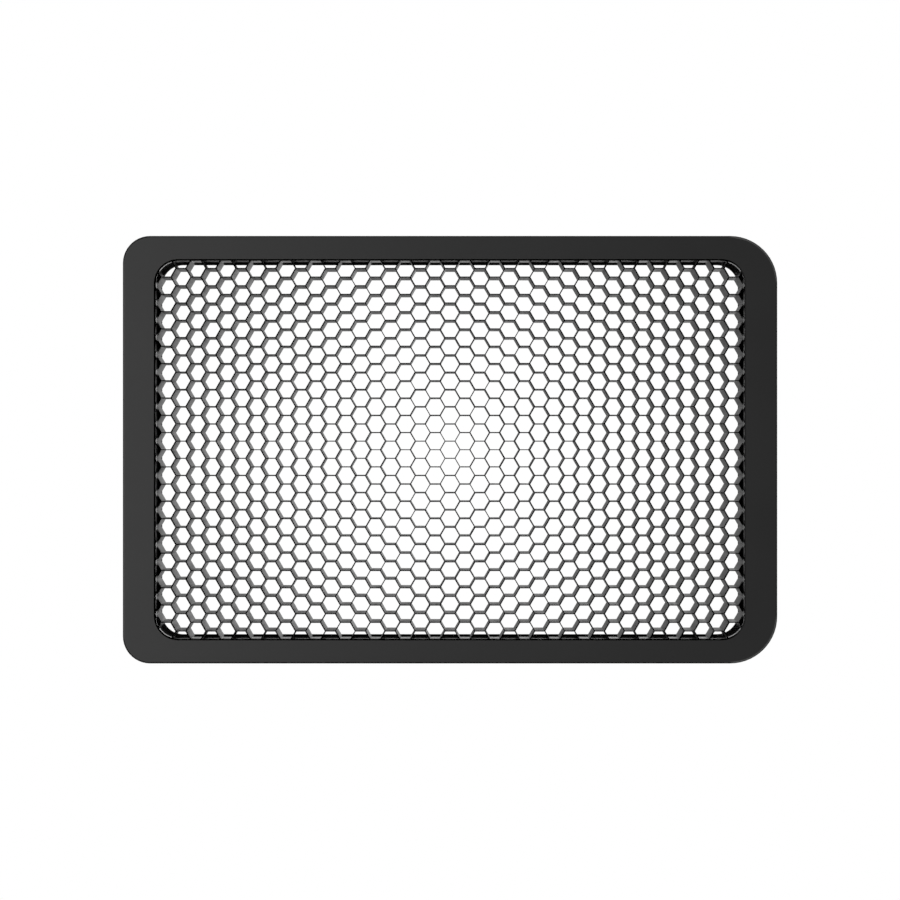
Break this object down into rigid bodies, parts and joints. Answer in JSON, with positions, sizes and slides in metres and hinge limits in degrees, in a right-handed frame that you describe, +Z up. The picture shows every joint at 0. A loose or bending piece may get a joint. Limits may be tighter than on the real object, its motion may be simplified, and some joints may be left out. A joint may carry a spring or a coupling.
{
  "type": "honeycomb light grid",
  "caption": "Flat rectangular honeycomb grid that clings by magnets to the front of a pocket-size LED light and narrows its beam.",
  "frame": {"origin": "centre of the flat rear face that seats on the light", "axes": "+Z up along the short side, +X to the viewer's right along the long side, -Y out of the lit front, +Y out of the rear face"},
  "size_m": [0.1202, 0.007, 0.0786],
  "materials": {
    "bezel_plastic": "smooth satin black",
    "cover_plastic": "fine matt black",
    "magnet_nickel": "nickel plate",
    "screw_steel": "black oxide",
    "core_foil": "black anodised foil"
  },
  "bodies": {
    "root": {"front_bezel": "bezel_plastic", "rear_cover": "cover_plastic", "magnet_top_left": "magnet_nickel", "magnet_top_right": "magnet_nickel", "magnet_bottom_left": "magnet_nickel", "magnet_bottom_right": "magnet_nickel", "magnet_left_upper": "magnet_nickel", "magnet_left_lower": "magnet_nickel", "magnet_right_upper": "magnet_nickel", "magnet_right_lower": "magnet_nickel", "cover_screws": "screw_steel", "core_ribbon_01": "core_foil", "core_ribbon_02": "core_foil", "core_ribbon_03": "core_foil", "core_ribbon_04": "core_foil", "core_ribbon_05": "core_foil", "core_ribbon_06": "core_foil", "core_ribbon_07": "core_foil", "core_ribbon_08": "core_foil", "core_ribbon_09": "core_foil", "core_ribbon_10": "core_foil", "core_ribbon_11": "core_foil", "core_ribbon_12": "core_foil", "core_ribbon_13": "core_foil", "core_ribbon_14": "core_foil", "core_ribbon_15": "core_foil", "core_ribbon_16": "core_foil", "core_ribbon_17": "core_foil", "core_ribbon_18": "core_foil", "core_ribbon_19": "core_foil", "core_ribbon_20": "core_foil", "core_ribbon_21": "core_foil", "core_ribbon_22": "core_foil", "core_ribbon_23": "core_foil", "core_ribbon_24": "core_foil", "core_ribbon_25": "core_foil", "core_ribbon_26": "core_foil", "core_ribbon_27": "core_foil", "core_ribbon_28": "core_foil", "core_ribbon_29": "core_foil", "core_ribbon_30": "core_foil", "core_ribbon_31": "core_foil", "core_ribbon_32": "core_foil", "core_ribbon_33": "core_foil", "core_ribbon_34": "core_foil", "core_ribbon_35": "core_foil", "core_ribbon_36": "core_foil", "core_ribbon_37": "core_foil", "core_ribbon_38": "core_foil", "core_ribbon_39": "core_foil", "core_ribbon_40": "core_foil", "core_ribbon_41": "core_foil", "core_ribbon_42": "core_foil", "core_ribbon_43": "core_foil", "core_ribbon_44": "core_foil"}
  },
  "joints": []
}
